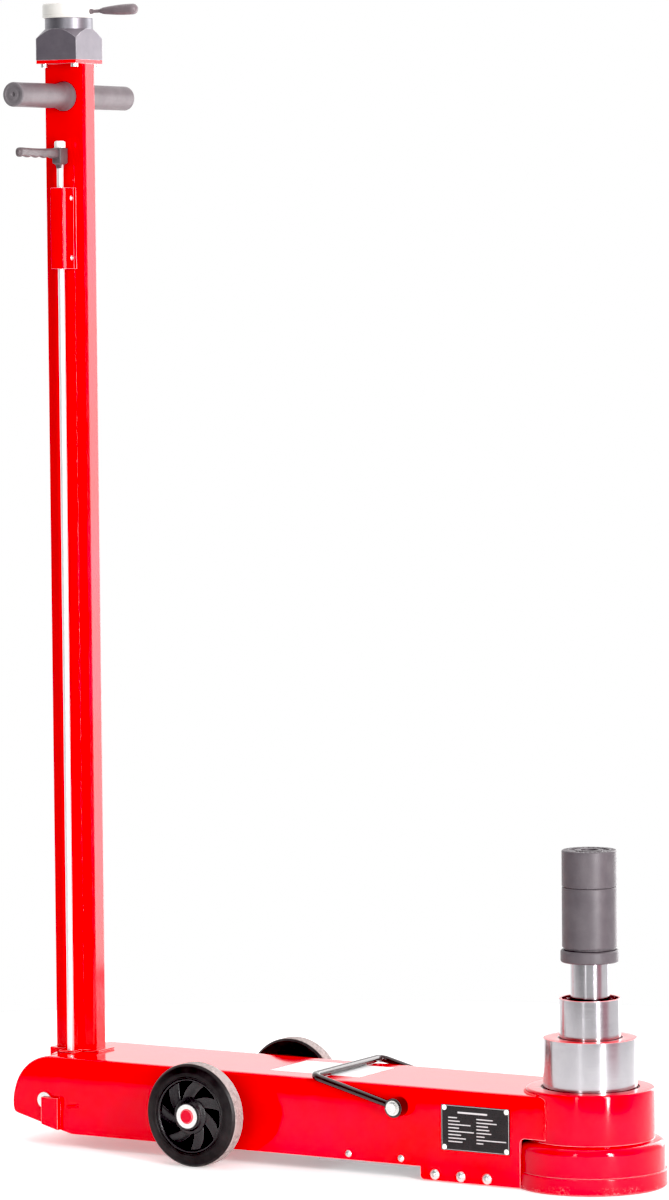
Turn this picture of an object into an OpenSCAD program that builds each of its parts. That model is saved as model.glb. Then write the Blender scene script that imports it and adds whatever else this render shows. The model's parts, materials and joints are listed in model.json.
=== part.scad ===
// Air-hydraulic telescopic truck jack on two wheels, with a tilting pull post.
// Frame: origin on the floor under the lift axis, +X towards the lift nose,
// +Y across the body, +Z up. Millimetres.

/* [Base and cylinder] */
// Diameter of the foot disc that stands on the floor
foot_d = 200; // [198:1:206]
// Height of the foot disc
foot_h = 22; // [20:1:24]
// Diameter of the drum above the foot disc
drum_d = 195; // [192:1:196]
// Height of the drum's rounded shoulder above the floor
drum_top = 62; // [60:1:64]
// Outer diameter of the cylinder
cyl_d = 168.3; // [166:0.1:170]
// Height of the cylinder's top ring above the floor
cyl_top = 128; // [126:1:132]

/* [Rams] */
// Diameter of the outer ram
ram1_d = 123; // [120:0.5:124]
// Length of outer ram that stands out of the cylinder
ram1_out = 64; // [60:1:66]
// Diameter of the middle ram
ram2_d = 80.4; // [78:0.1:82]
// Length of middle ram that stands out of the outer ram
ram2_out = 51.4; // [50:0.1:53]
// Diameter of the inner ram
ram3_d = 50.8; // [48:0.1:52]
// Length of inner ram seen under the saddle
ram3_out = 47.6; // [46.5:0.1:49]

/* [Saddle and extensions] */
// Diameter of the saddle flange on the inner ram
saddle_d = 76; // [74:1:80]
// Height of the saddle flange
saddle_h = 16; // [15:1:18]
// Diameter of the lift-off extensions
ext_d = 71.8; // [68:0.1:74]
// Height of the lower extension
lower_ext_h = 82; // [70:1:100]
// Height of the upper extension
upper_ext_h = 48; // [40:1:60]
// Diameter of the spigots that locate the extensions
spigot_d = 24; // [20:1:26]

/* [Chassis] */
// Width over the side plates
body_w = 162; // [160:1:164]
// Height of the top cover's upper face
body_top = 122; // [121:1:123]
// Height of the side plates' lower edge
body_low = 18; // [17:1:19]
// Thickness of the side plates and the top cover
plate_t = 4; // [3:0.5:5]
// Radius of the rounded rear end
rear_r = 61; // [60:1:62]
// Distance from the lift axis back to the rear end's centre
rear_back = 791.5; // [780:0.5:800]
// Slope of the rear underside, in degrees
rear_slope = 14.8; // [13:0.1:16]

/* [Wheels] */
// Diameter of the wheels
wheel_d = 139; // [136:1:142]
// Width of the tyres
tyre_w = 28; // [24:1:30]
// Distance from the lift axis back to the axle
axle_back = 527.5; // [500:0.5:560]
// Diameter of the axle
axle_d = 20; // [18:1:22]
// Number of spokes in each wheel
spokes = 7; // [5:1:9]

/* [Post] */
// Distance from the lift axis back to the post's centre line
post_back = 793; // [790:0.5:796]
// Width of the post, along the body
post_w = 65; // [60:1:66]
// Depth of the post, across the body
post_depth = 28; // [26:1:28]
// Height of the post's upper end
post_top = 1472; // [1400:1:1500]
// Diameter of the pin that the post tilts on
pin_d = 22; // [20:1:24]
// Distance from the post's top down to the T-bar's centre
bar_drop = 44; // [38:1:50]
// Half length of the T-bar over its grips
bar_half = 138; // [120:1:145]
// Diameter of the grips
grip_d = 33.2; // [30:0.2:35]

/* [Release rod and valve head] */
// Diameter of the release rod
rod_d = 9.4; // [9:0.1:10]
// Length of the squeeze lever's arm
lever_len = 104; // [95:1:110]
// Width of the square valve body
valve_w = 65; // [62:1:66]
// Height of the valve body
valve_h = 42; // [40:1:46]
// Diameter of the rotary cap
cap_d = 72; // [68:1:74]
// Reach of the cap's handle from the cap's centre
handle_reach = 111; // [100:1:115]

/* [Carry handle] */
// Diameter of the carry handle's bar
bail_d = 10; // [9:0.5:10]
// Distance from the lift axis back to the carry handle's pivot
bail_back = 240; // [238:1:242]
// Distance from the pivot back to the carry handle's crossbar
bail_reach = 128; // [120:1:135]

/* [Hidden] */
$fn = 64;

// Colours
red = [0.85, 0.02, 0.05];
bright = [0.82, 0.82, 0.84];
zinc = [0.90, 0.90, 0.86];
dark = [0.36, 0.34, 0.36];
black = [0.10, 0.10, 0.11];
bronze = [0.66, 0.47, 0.22];
white = [0.93, 0.93, 0.90];
alloy = [0.70, 0.71, 0.73];

// Fits and gaps
run = 0.05;         // radial clearance of a running fit
slide_gap = 0.1;    // radial clearance of a piston head in its bore
rest_gap = 0.3;     // gap between stacked lift-off pieces
eps = 0.01;
far = 500;          // longer than any piece that it cuts

// Lift stages, from the floor up
ram1_top = cyl_top + ram1_out;
ram2_top = ram1_top + ram2_out;
saddle_z = ram2_top + ram3_out;
saddle_top = saddle_z + saddle_h;
lower_ext_top = saddle_top + lower_ext_h;
upper_ext_top = lower_ext_top + upper_ext_h;
bore1_r = ram1_d / 2 + 4.5;
bore2_r = ram2_d / 2 + 3.8;
bore3_r = ram3_d / 2 + 4.6;
cyl_floor = 30;
head_h = 10;        // height of each piston head
ram1_len = 102;
ram2_len = 99;
ram1_low = ram1_top - ram1_len;
ram2_low = ram2_top - ram2_len;
ram3_low = ram2_low + 52;
ram3_top = saddle_z + saddle_h / 2;
lip_h = 4;          // inner lip at the foot of each hollow ram
recess_h = 14;      // gland recess in the top of the middle ram
recess_r = ram2_d / 2 - 3;
socket_depth = 22;

// Chassis
half_w = body_w / 2;
inner_w = half_w - plate_t;
rear_z = body_top - rear_r;
pivot_x = -post_back - 6;
pivot_z = 62;
slope_x = -757;     // where the rear underside meets the level edge
corner_r = 8;       // rounded corner at the rear end's foot
notch_x = -60.5;
notch_z = 66;
notch_r = 7;
skirt_back = 209.5;
skirt_low = 1;
skirt_r = 6;
slot_w = post_depth + 2;
cut_gap = 0.05;
skirt_bolt_x = [-188, -149, -110];
skirt_bolt_z = 9;
cover_screw_x = [-319, -239];
cover_screw_z = 26;
cover_x = [-365, -210.5];
plate_x = -126.4;   // nameplate's centre
plate_z = 73;
plate_size = [102, 60];
rivet_pitch = [92.5, 52];
bail_z = 95;

// Wheels
wheel_r = wheel_d / 2;
axle_z = wheel_r;
wheel_y = half_w + 60.4;
rim_r = 50;
lip_out = 2.2;      // how far the rim stands proud of the tyre's shoulder
hub_out = 6;        // and the hub

// Post
post_x = -post_back;
bar_z = post_top - bar_drop;
bar_r = 12.5;
post_wall = 3;
post_foot = 42;
collar_z = body_top + 0.4;
collar_h = 2.6;
collar_x = [-831.5, -751];
collar_half = 19;

// Release rod, on the post's near face
rod_line_y = -post_depth / 2 - 14;
rod_line_x = post_x + 1.5;
rod_low = body_top + 1;
lever_z = 1335;
lever_h = 23;
guide_z = 1194;
guide_h = 110;
guide_x = post_x + 3.75;
guide_w = 20.5;
guide_flange = 4;
guide_depth = 28;
sheet_t = 1.5;
guide_screw_y = -20;
guide_screw_z = [guide_z + 15, guide_z + guide_h - 14];
spring_foot = 1221;

// Valve head
head_plate_h = 5;
valve_z = post_top + head_plate_h;
neck_z = valve_z + valve_h;
neck_h = 14.5;
cap_z = neck_z + neck_h;
cap_h = 20;
stem_z = cap_z + 8;
stem_r = 2.4;
handle_tilt = 1;
trunnion_r = 12;

// Air motor and pump, inside the body
motor_z = 70;
motor_r = 40;
motor_x = [-495, -345];
pump_end = -270;
plunger_r = 8;

function arc(c, r, a0, a1, n = 16) =
    [for (i = [0:n]) c + r * [cos(a0 + (a1 - a0) * i / n), sin(a0 + (a1 - a0) * i / n)]];

// Outline of a rectangle with round corners, centred on the origin
function round_rect(w, h, r) = concat(
    arc([w / 2 - r, h / 2 - r], r, 0, 90, 6),
    arc([r - w / 2, h / 2 - r], r, 90, 180, 6),
    arc([r - w / 2, r - h / 2], r, 180, 270, 6),
    arc([w / 2 - r, r - h / 2], r, 270, 360, 6));

module ring(r_out, r_in, h) {
    difference() {
        cylinder(r = r_out, h = h);
        translate([0, 0, -1])
            cylinder(r = r_in, h = h + 2);
    }
}

// A cylinder along Y, from y0 to y1
module rod_y(r, y0, y1) {
    translate([0, y1, 0])
        rotate([90, 0, 0])
            cylinder(r = r, h = y1 - y0);
}

// A cylinder along X, from x0 to x1
module rod_x(r, x0, x1) {
    translate([x0, 0, 0])
        rotate([0, 90, 0])
            cylinder(r = r, h = x1 - x0);
}

module box(low, high) {
    translate(low)
        cube(high - low);
}

// A profile given in X and Z, from y0 to y1
module plate_xz(points, y0, y1) {
    translate([0, y1, 0])
        rotate([90, 0, 0])
            linear_extrude(y1 - y0)
                polygon(points);
}

// Children as they are, and mirrored to the far side
module both_sides() {
    children();
    mirror([0, 1, 0])
        children();
}

// A button head screw along +Y with its head's underside at y = 0
module button_screw(head_r, head_h, shank_r, shank_len, socket_r) {
    dome = (head_r * head_r + head_h * head_h) / (2 * head_h);
    rim = asin(head_r / dome);
    rotate([90, 0, 0]) {
        difference() {
            rotate_extrude()
                polygon(concat([[0, 0]],
                    arc([0, head_h - dome], dome, 90 - rim, 89, 10), [[0, head_h]]));
            translate([0, 0, head_h * 0.45])
                cylinder(r = socket_r, h = head_h, $fn = 6);
        }
        translate([0, 0, -shank_len])
            cylinder(r = shank_r, h = shank_len + eps);
    }
}

// A helical spring along +Z: mean radius r, wire radius w, from z = 0 to z = len
module coil(r, w, len, turns, sides = 8, steps = 20) {
    n = turns * steps;
    rise = (len - 2 * w) / n;
    points = [for (i = [0:n]) for (k = [0:sides - 1])
        let (a = 360 * i / steps, b = 360 * k / sides, d = r + w * cos(b))
        [d * cos(a), d * sin(a), w + rise * i + w * sin(b)]];
    sheath = [for (i = [0:n - 1]) for (k = [0:sides - 1])
        let (p = i * sides + k, q = i * sides + (k + 1) % sides)
        [p, q, q + sides, p + sides]];
    first = [for (k = [sides - 1:-1:0]) k];
    last = [for (k = [0:sides - 1]) n * sides + k];
    polyhedron(points = points, faces = concat(sheath, [first, last]), convexity = 10);
}

// ---- Base and rams ----

module foot_disc() {
    edge = 1.5;
    color(red)
        rotate_extrude()
            polygon(concat([[0, 0], [foot_d / 2 - edge, 0], [foot_d / 2, edge]],
                arc([foot_d / 2 - edge, foot_h - edge], edge, 0, 90, 6), [[0, foot_h]]));
}

module outer_cylinder() {
    shoulder = 10;
    edge = 3;
    drum_r = drum_d / 2;
    r = cyl_d / 2;
    lip_r = bore1_r - 1.5;
    lip_z = cyl_top - 7;
    color(red)
        rotate_extrude()
            polygon(concat([[0, foot_h], [drum_r, foot_h]],
                arc([drum_r - shoulder, drum_top - 1 - shoulder], shoulder, 0, 90, 10),
                [[r, drum_top]],
                arc([r - edge, cyl_top - edge], edge, 0, 90, 8),
                [[lip_r, cyl_top], [lip_r, lip_z], [bore1_r, lip_z],
                [bore1_r, cyl_floor], [0, cyl_floor]]));
}

module gland_bush_1() {
    color(bronze)
        translate([0, 0, ram1_low + head_h + 6])
            ring(bore1_r, ram1_d / 2 + run, cyl_top - 7 - ram1_low - head_h - 6);
}

// A hollow ram with a piston head at its foot, an inner lip and an open bore
module hollow_ram(r, low, top, head_r, bore_r, lip_r) {
    difference() {
        union() {
            translate([0, 0, low])
                cylinder(r = r, h = top - low);
            translate([0, 0, low])
                cylinder(r = head_r, h = head_h);
        }
        translate([0, 0, low - 1])
            cylinder(r = lip_r, h = lip_h + 2);
        translate([0, 0, low + lip_h])
            cylinder(r = bore_r, h = top);
    }
}

module piston_1() {
    lip_r = ram2_d / 2 + 2.3;
    color(bright) {
        hollow_ram(ram1_d / 2, ram1_low, ram1_top - lip_h, bore1_r - slide_gap,
            bore2_r, 36);
        translate([0, 0, ram1_top - lip_h])
            ring(ram1_d / 2, lip_r, lip_h);
    }
}

module gland_bush_2() {
    bush_low = ram2_low + head_h + 6;
    color(bronze)
        translate([0, 0, bush_low])
            ring(bore2_r, ram2_d / 2 + run, ram1_top - lip_h - bush_low);
}

module piston_2() {
    color(bright)
        difference() {
            hollow_ram(ram2_d / 2, ram2_low, ram2_top, bore2_r - slide_gap, bore3_r, 24);
            translate([0, 0, ram2_top - recess_h])
                cylinder(r = recess_r, h = recess_h + 1);
        }
}

module gland_bush_3() {
    bush_low = ram3_low + head_h + 5;
    shelf = ram2_top - recess_h;
    nut_h = 5;
    color(red) {
        translate([0, 0, bush_low])
            ring(bore3_r, ram3_d / 2 + run, shelf - bush_low);
        translate([0, 0, shelf])
            ring(recess_r, ram3_d / 2 + run, nut_h);
    }
}

module piston_3() {
    color(bright)
        difference() {
            union() {
                translate([0, 0, ram3_low])
                    cylinder(r = ram3_d / 2, h = ram3_top - ram3_low);
                translate([0, 0, ram3_low])
                    cylinder(r = bore3_r - slide_gap, h = head_h);
            }
            translate([0, 0, saddle_top - socket_depth])
                cylinder(r = spigot_d / 2 + run, h = socket_depth);
        }
}

module saddle_flange() {
    r = saddle_d / 2;
    edge = 1.2;
    bore = spigot_d / 2 + run;
    color(dark)
        rotate_extrude()
            polygon([[ram3_d / 2, saddle_z], [r - edge, saddle_z], [r, saddle_z + edge],
                [r, saddle_top - edge], [r - edge, saddle_top], [bore, saddle_top],
                [bore, ram3_top], [ram3_d / 2, ram3_top]]);
}

// A lift-off extension: a body from low to top, a spigot below and a socket on top
module extension_body(low, top) {
    r = ext_d / 2;
    edge = 1;
    difference() {
        union() {
            rotate_extrude()
                polygon([[0, low], [r - edge, low], [r, low + edge],
                    [r, top - edge], [r - edge, top], [0, top]]);
            translate([0, 0, low - socket_depth + 1])
                cylinder(r = spigot_d / 2, h = socket_depth);
        }
        translate([0, 0, top - socket_depth])
            cylinder(r = spigot_d / 2 + run, h = socket_depth + 1);
    }
}

module extension_lower() {
    color(dark)
        extension_body(saddle_top + rest_gap, lower_ext_top);
}

module extension_upper() {
    groove_r = [18, 27];
    groove_h = 1.5;
    color(dark)
        difference() {
            extension_body(lower_ext_top + rest_gap, upper_ext_top);
            translate([0, 0, upper_ext_top - groove_h])
                ring(groove_r[1], groove_r[0], groove_h + 1);
        }
}

// ---- Chassis ----

// Centre of the round corner between the rear arc and the sloping underside
function corner_centre() =
    let (along = [-cos(rear_slope), sin(rear_slope)],
        up = [sin(rear_slope), cos(rear_slope)],
        start = [slope_x, body_low],
        to_rear = [-rear_back, rear_z] - start,
        side = to_rear * up - corner_r,
        t = to_rear * along + sqrt(pow(rear_r - corner_r, 2) - side * side))
    start + t * along + corner_r * up;

function rear_end_angle() =
    let (d = corner_centre() - [-rear_back, rear_z])
    atan2(d[1], d[0]) + 360;

function side_outline() = concat(
    arc([-rear_back, rear_z], rear_r, 90, rear_end_angle(), 28),
    arc(corner_centre(), corner_r, rear_end_angle() + 8, 270 - rear_slope, 5),
    [[slope_x, body_low], [-skirt_back, body_low]],
    arc([skirt_r - skirt_back, skirt_low + skirt_r], skirt_r, 180, 270, 6),
    [[notch_x, skirt_low]],
    arc([notch_x + notch_r, notch_z - notch_r], notch_r, 180, 90, 6),
    [[-10, notch_z], [-10, body_top]]);

module side_plate() {
    difference() {
        plate_xz(side_outline(), -half_w, -inner_w);
        cylinder(r = cyl_d / 2 + cut_gap, h = far);
        translate([0, 0, -1])
            cylinder(r = foot_d / 2 + cut_gap, h = foot_h + 2);
        translate([pivot_x, 0, pivot_z])
            rod_y(pin_d / 2, -far, far);
        translate([-axle_back, 0, axle_z])
            rod_y(axle_d / 2, -far, far);
        translate([-bail_back, 0, bail_z])
            rod_y(5, -far, far);
        for (x = skirt_bolt_x)
            translate([x, 0, skirt_bolt_z])
                rod_y(4, -far, far);
        for (x = cover_screw_x)
            translate([x, 0, cover_screw_z])
                rod_y(2.5, -far, far);
    }
}

module side_plate_near() {
    color(red)
        side_plate();
}

module side_plate_far() {
    color(red)
        mirror([0, 1, 0])
            side_plate();
}

module top_cover() {
    rear = [-rear_back, rear_z];
    under = concat(arc(rear, rear_r, 90, rear_end_angle(), 28),
        arc(rear, rear_r - plate_t, rear_end_angle(), 90, 28),
        [[-10, body_top - plate_t], [-10, body_top]]);
    lock_r = rod_d / 2 + 0.9;
    color(red)
        difference() {
            plate_xz(under, -inner_w + cut_gap, inner_w - cut_gap);
            cylinder(r = cyl_d / 2 + cut_gap, h = far);
            box([-far * 2, -slot_w / 2, 0], [post_x + post_w / 2 + 1, slot_w / 2, far]);
            for (tilt = [0, 45, 85])
                translate([pivot_x, rod_line_y, pivot_z])
                    rotate([0, -tilt, 0])
                        translate([rod_line_x - pivot_x, 0, rear_r / 2])
                            cylinder(r = lock_r, h = rear_r);
        }
}

module bottom_cover() {
    t = 2.4;
    low = 15;
    flange_h = 16;
    high = body_low - 0.1;
    color(alloy)
        difference() {
            union() {
                box([cover_x[0], -half_w + 1, low], [cover_x[1], half_w - 1, high]);
                both_sides()
                    box([cover_x[0], -inner_w + 0.1, low + 1],
                        [cover_x[1], -inner_w + 0.1 + t, high + flange_h]);
            }
            for (x = cover_screw_x)
                translate([x, 0, cover_screw_z])
                    rod_y(2.5, -far, far);
        }
}

module cover_screws() {
    color(zinc)
        both_sides()
            for (x = cover_screw_x)
                translate([x, -half_w, cover_screw_z])
                    button_screw(4.75, 2.6, 2.5, 9, 1.5);
}

module base_plate() {
    high = body_low - 0.2;
    color(red)
        difference() {
            box([-skirt_back + 1, -inner_w + 0.1, skirt_low],
                [-40, inner_w - 0.1, high]);
            translate([0, 0, -1])
                cylinder(r = foot_d / 2 + cut_gap, h = foot_h + 2);
            for (x = skirt_bolt_x)
                translate([x, 0, skirt_bolt_z]) {
                    rod_y(4, -far, -half_w + 30);
                    rod_y(4, half_w - 30, far);
                }
        }
}

module skirt_bolts() {
    color(zinc)
        both_sides()
            for (x = skirt_bolt_x)
                translate([x, -half_w, skirt_bolt_z])
                    button_screw(7.25, 4.6, 4, 28, 2.4);
}

module at_rivets() {
    for (sx = [-1, 1])
        for (sz = [-1, 1])
            translate([plate_x + sx * rivet_pitch[0] / 2, -half_w - 1,
                plate_z + sz * rivet_pitch[1] / 2])
                children();
}

module nameplate() {
    color(black)
        difference() {
            plate_xz([for (p = round_rect(plate_size[0], plate_size[1], 1.5))
                p + [plate_x, plate_z]], -half_w - 1, -half_w);
            at_rivets()
                rod_y(1, -1, 2);
        }
}

module nameplate_rivets() {
    color(white)
        at_rivets()
            button_screw(3.6, 1.4, 1, 0.9, 0.9);
}

module top_label() {
    color(white)
        box([-461, -44, body_top], [-323, 50, body_top + 0.2]);
}

module pivot_pin() {
    proud = 3;
    color(zinc)
        translate([pivot_x, 0, pivot_z])
            rod_y(pin_d / 2, -half_w - proud, half_w + proud);
}

// Folded guard over each end of the pivot pin, welded to the side plate
module pivot_keepers() {
    x0 = -801.5;
    x1 = -775;
    t = 2.5;
    proud = 7;
    high = 67;
    foot = function(x) body_low + (slope_x - x) * tan(rear_slope);
    outline = [[x0, foot(x0)], [x1, foot(x1)], [x1, high], [x0, high]];
    color(red)
        both_sides()
            difference() {
                plate_xz(outline, -half_w - proud, -half_w);
                box([x0 + t, -half_w - proud + t, 0], [x1 - t, far, far]);
                translate([pivot_x, 0, pivot_z])
                    rod_y(pin_d / 2 + 0.2, -half_w - 4, far);
            }
}

module axle() {
    end = wheel_y + hub_out + 3.6;
    chamfer = 1.2;
    color(red)
        translate([-axle_back, 0, axle_z])
            rotate([90, 0, 0])
                rotate_extrude()
                    polygon([[0, -end], [axle_d / 2 - chamfer, -end],
                        [axle_d / 2, -end + chamfer], [axle_d / 2, end - chamfer],
                        [axle_d / 2 - chamfer, end], [0, end]]);
}

module axle_spacers() {
    color(black)
        both_sides()
            translate([-axle_back, -half_w, axle_z])
                rotate([90, 0, 0])
                    ring(15, axle_d / 2, wheel_y - tyre_w - half_w - 0.4);
}

module axle_washers() {
    color(zinc)
        both_sides()
            translate([-axle_back, -wheel_y - hub_out - 0.3, axle_z])
                rotate([90, 0, 0])
                    ring(16, axle_d / 2, 1.7);
}

module bail_bolts() {
    face = half_w + 17.8;
    flange_t = 1.8;
    color(zinc)
        both_sides()
            translate([-bail_back, 0, bail_z]) {
                rod_y(5, -face, -inner_w + 7);
                rod_y(10, -face - flange_t, -face);
                translate([0, -face - flange_t + eps, 0])
                    rotate([90, 0, 0])
                        cylinder(r = 8.1, h = 4.5, $fn = 6);
                translate([0, -inner_w + 6, 0])
                    rotate([90, 0, 0])
                        cylinder(r = 9, h = 6, $fn = 6);
            }
}

// ---- Air motor and pump, inside the body ----

module oil_reservoir() {
    wall = 2.5;
    low = [-262, -66, 62];
    high = [-104, 66, 114];
    color(alloy)
        difference() {
            box(low, high);
            box(low + wall * [1, 1, 1], high - wall * [1, 1, 1]);
        }
}

module pump_block() {
    flange_t = 15;
    color(alloy)
        difference() {
            union() {
                box([motor_x[1], -inner_w + 0.1, 38],
                    [motor_x[1] + flange_t, inner_w - 0.1, 108]);
                box([motor_x[1], -34, 38], [pump_end, 34, 104]);
            }
            translate([0, 0, motor_z])
                rod_x(plunger_r + run, motor_x[1] - 1, pump_end - 12);
        }
}

module air_motor_barrel() {
    color(alloy)
        translate([motor_x[0], 0, motor_z])
            rotate([0, 90, 0])
                ring(motor_r, motor_r - 4, motor_x[1] - motor_x[0]);
}

module motor_end_cap() {
    color(alloy)
        translate([0, 0, motor_z])
            rod_x(motor_r + 2, motor_x[0] - 8, motor_x[0]);
}

module pressure_pipe() {
    color(bright)
        difference() {
            translate([0, 0, 50])
                rod_x(5, pump_end, -far / 8);
            translate([0, 0, 50])
                rod_x(3, pump_end - 1, 0);
            cylinder(r = drum_d / 2 + cut_gap, h = far);
        }
}

module air_piston() {
    color(alloy)
        translate([0, 0, motor_z])
            rod_x(motor_r - 4 - slide_gap, motor_x[0] + 25, motor_x[0] + 40);
}

module pump_plunger() {
    color(bright)
        translate([0, 0, motor_z])
            rod_x(plunger_r, motor_x[0] + 40, motor_x[1] + 29);
}

module plunger_spring() {
    gap = 0.3;
    color(bright)
        translate([motor_x[0] + 40 + gap, 0, motor_z])
            rotate([0, 90, 0])
                coil(15, 2, motor_x[1] - motor_x[0] - 40 - 2 * gap, 7);
}

// ---- Post ----

module post_tube() {
    inner = [post_w - 2 * post_wall, post_depth - 2 * post_wall];
    color(red)
        difference() {
            translate([post_x, 0, post_foot])
                linear_extrude(post_top - post_foot)
                    difference() {
                        polygon(round_rect(post_w, post_depth, 4));
                        polygon(round_rect(inner[0], inner[1], 1.5));
                    }
            translate([pivot_x, 0, pivot_z])
                rod_y(pin_d / 2 + 7, -far, far);
            translate([post_x, 0, bar_z])
                rod_y(bar_r, -far, far);
        }
}

module post_collar() {
    tab_half = 12;
    tab_y = rod_line_y - 10;
    top = collar_z + collar_h;
    shoe_r = collar_z - pivot_z;
    left = 90 + asin((pivot_x - collar_x[0]) / shoe_r);
    profile = concat(arc([pivot_x, pivot_z], shoe_r, left, 90, 10),
        [[collar_x[1], collar_z], [collar_x[1], top], [collar_x[0], top]]);
    color(red)
        difference() {
            union() {
                plate_xz(profile, -collar_half, collar_half);
                box([rod_line_x - tab_half, tab_y, collar_z],
                    [rod_line_x + tab_half, -collar_half + eps, top]);
            }
            translate([post_x, 0, body_top - 20])
                linear_extrude(30)
                    polygon(round_rect(post_w, post_depth, 4));
            translate([rod_line_x, rod_line_y, collar_z - 1])
                cylinder(r = rod_d / 2 + slide_gap, h = collar_h + 2);
        }
}

module pivot_hub() {
    color(red)
        translate([pivot_x, inner_w - 0.5, pivot_z])
            rotate([90, 0, 0])
                ring(pin_d / 2 + 7, pin_d / 2 + run, 2 * inner_w - 1);
}

// Folded channel on the post's near face, with a rod hole in each end
module rod_guide() {
    face = -post_depth / 2;
    half = guide_w / 2;
    end_t = 3;
    color(red)
        difference() {
            union() {
                translate([guide_x, face - guide_depth / 2, guide_z])
                    linear_extrude(guide_h)
                        polygon(round_rect(guide_w, guide_depth, 1.5));
                box([guide_x + half - 2 * sheet_t, face - sheet_t, guide_z],
                    [guide_x + half + guide_flange, face, guide_z + guide_h]);
            }
            box([guide_x - half + sheet_t, face - guide_depth + sheet_t, guide_z + end_t],
                [guide_x + half - sheet_t, face + 1, guide_z + guide_h - end_t]);
            translate([rod_line_x, rod_line_y, guide_z - 1])
                cylinder(r = rod_d / 2 + slide_gap, h = guide_h + 2);
            for (z = guide_screw_z)
                translate([0, guide_screw_y, z])
                    rod_x(2, guide_x, guide_x + far);
        }
}

module guide_screws() {
    color(zinc)
        for (z = guide_screw_z)
            translate([guide_x + guide_w / 2, guide_screw_y, z])
                rotate([0, 0, 90])
                    button_screw(3.8, 2, 2, sheet_t + 1.5, 1.4);
}

module cross_tube() {
    end = bar_half - 5;
    color(zinc)
        translate([post_x, end, bar_z])
            rotate([90, 0, 0])
                ring(bar_r, bar_r - 3, 2 * end);
}

// A moulded grip with a flared inner end and a closed, rounded outer end
module grip() {
    r = grip_d / 2;
    flare_r = 20.5;
    flare_len = 16;
    start = post_depth / 2;
    edge = 4;
    dimple_r = 2;
    flare = [for (i = [0:8]) [r + (flare_r - r) * pow(1 - i / 8, 2),
        start + 2 + flare_len * i / 8]];
    translate([post_x, 0, bar_z])
        rotate([90, 0, 0])
            rotate_extrude()
                polygon(concat([[bar_r, start], [flare_r, start]], flare,
                    arc([r - edge, bar_half - edge], edge, 0, 90, 6),
                    [[dimple_r, bar_half], [0, bar_half - 2], [0, bar_half - 5],
                    [bar_r, bar_half - 5]]));
}

module grip_near() {
    color(dark)
        grip();
}

module grip_far() {
    color(dark)
        mirror([0, 1, 0])
            grip();
}

// ---- Valve head ----

module square_plate(w, h) {
    linear_extrude(h)
        square(w, center = true);
}

module valve_plate() {
    pitch = valve_w / 2 - 8;
    color(red)
        translate([post_x, 0, post_top])
            difference() {
                square_plate(valve_w, head_plate_h);
                for (sx = [-1, 1])
                    for (sy = [-1, 1])
                        translate([sx * pitch, sy * pitch, -1])
                            cylinder(r = 3, h = head_plate_h + 2);
                translate([0, 0, -1])
                    cylinder(r = 7, h = head_plate_h + 2);
            }
}

module valve_plate_bolts() {
    pitch = valve_w / 2 - 8;
    head_h = 5;
    color(zinc)
        for (sx = [-1, 1])
            for (sy = [-1, 1])
                translate([post_x + sx * pitch, sy * pitch, post_top]) {
                    translate([0, 0, -head_h])
                        cylinder(r = 5.2, h = head_h);
                    cylinder(r = 3, h = head_plate_h + 10);
                }
}

module valve_body() {
    pitch = valve_w / 2 - 8;
    half = valve_w / 2;
    chamfer = 13;
    corner = half * sqrt(2);
    port_r = 5.9;
    color(dark)
        translate([post_x, 0, valve_z])
            difference() {
                intersection() {
                    square_plate(valve_w, valve_h);
                    rotate_extrude($fn = 96)
                        polygon([[0, 0], [corner + 1, 0], [corner + 1, valve_h - chamfer],
                            [corner, valve_h - chamfer], [half + 0.5, valve_h],
                            [0, valve_h]]);
                }
                for (sx = [-1, 1])
                    for (sy = [-1, 1])
                        translate([sx * pitch, sy * pitch, -1])
                            cylinder(r = 3, h = 11);
                translate([0, 0, valve_h - 24])
                    cylinder(r = trunnion_r + run, h = 25);
                translate([0, 0, valve_h / 2 - 6])
                    rod_x(port_r, -far, -half + 14);
                translate([0, 0, -1])
                    cylinder(r = 6, h = 10);
            }
}

module valve_neck() {
    color(bright)
        translate([post_x, 0, neck_z])
            ring(32.6, trunnion_r + run, neck_h);
}

module air_hose() {
    color(black)
        translate([post_x + 21, 0, 100])
            ring(6, 3.5, post_top - 130);
}

module valve_cap() {
    edge = 1.2;
    r = cap_d / 2;
    color(white)
        translate([post_x, 0, cap_z]) {
            translate([0, 0, rest_gap])
                rotate_extrude()
                    polygon([[0, 0], [r - edge, 0], [r, edge], [r, cap_h - rest_gap - edge],
                        [r - edge, cap_h - rest_gap], [0, cap_h - rest_gap]]);
            translate([0, 0, -neck_h - 20])
                cylinder(r = trunnion_r, h = neck_h + 20 + rest_gap + eps);
        }
}

module along_handle() {
    translate([post_x, 0, stem_z])
        rotate([0, -handle_tilt, 0])
            children();
}

module valve_stem() {
    color(dark)
        difference() {
            along_handle() {
                rod_x(stem_r, cap_d / 2 - 4, handle_reach - 50);
                rod_x(3.7, cap_d / 2 - 4, cap_d / 2 + 2.5);
                rod_x(3.3, handle_reach - 59, handle_reach - 56);
            }
            translate([post_x, 0, cap_z])
                cylinder(r = cap_d / 2, h = cap_h);
        }
}

module valve_knob() {
    start = handle_reach - 56;
    tip_r = 7.35;
    swell = [for (i = [0:12]) [4.8 + (tip_r - 4.8) * sin(7.5 * i), 3 + 38 * i / 12]];
    color(dark)
        difference() {
            along_handle()
                translate([start, 0, 0])
                    rotate([0, 90, 0])
                        rotate_extrude()
                            polygon(concat([[0, 0], [4.2, 0]], swell,
                                arc([0, 56 - tip_r], tip_r, 0, 89, 10), [[0, 56]]));
            along_handle()
                rod_x(stem_r, 0, handle_reach - 50);
        }
}

// ---- Release rod and squeeze lever ----

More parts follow.
